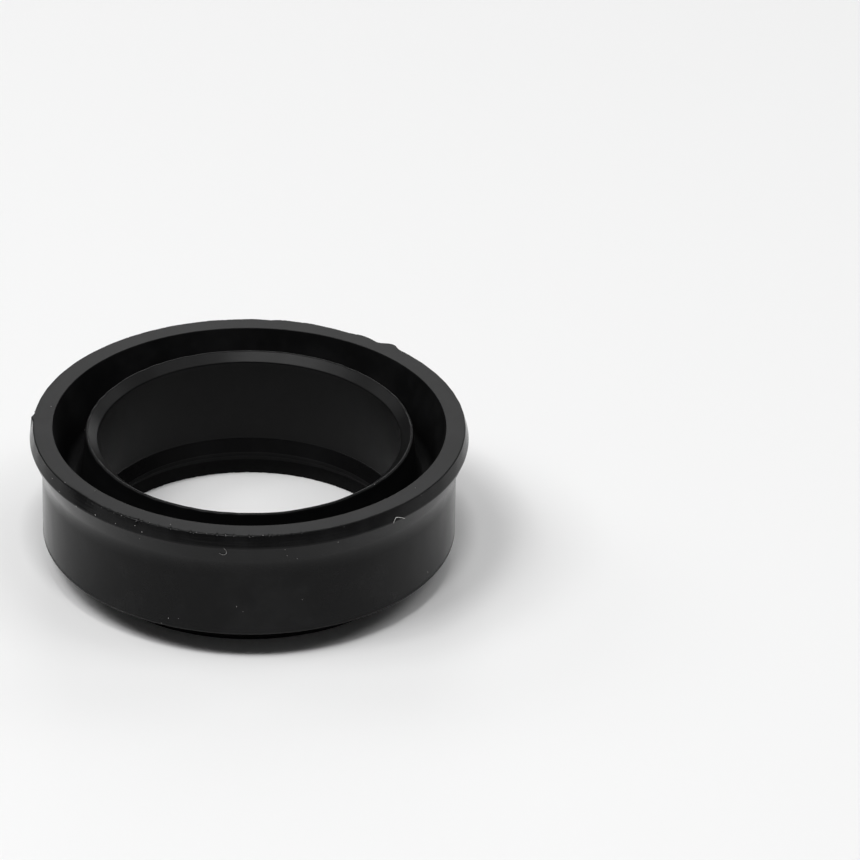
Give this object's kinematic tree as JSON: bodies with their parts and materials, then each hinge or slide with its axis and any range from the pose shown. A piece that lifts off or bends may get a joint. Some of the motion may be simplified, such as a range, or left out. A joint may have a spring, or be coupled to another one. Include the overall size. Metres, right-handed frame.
{
  "type": "dust wiper seal",
  "caption": "Moulded black rubber rod seal ring with a flared outer lip, an inner sealing lip, a groove between them and a wiper collar.",
  "frame": {"origin": "on the ring's axis, in the plane of the collar's end face, which the ring stands on", "axes": "+Z is the ring's axis, from the wiper collar towards the open groove; X and Y are any two directions across it"},
  "size_m": [0.0286, 0.0286, 0.0097],
  "materials": {
    "black_rubber": "satin moulded"
  },
  "bodies": {
    "root": {"wiper_ring": "black_rubber"}
  },
  "joints": []
}
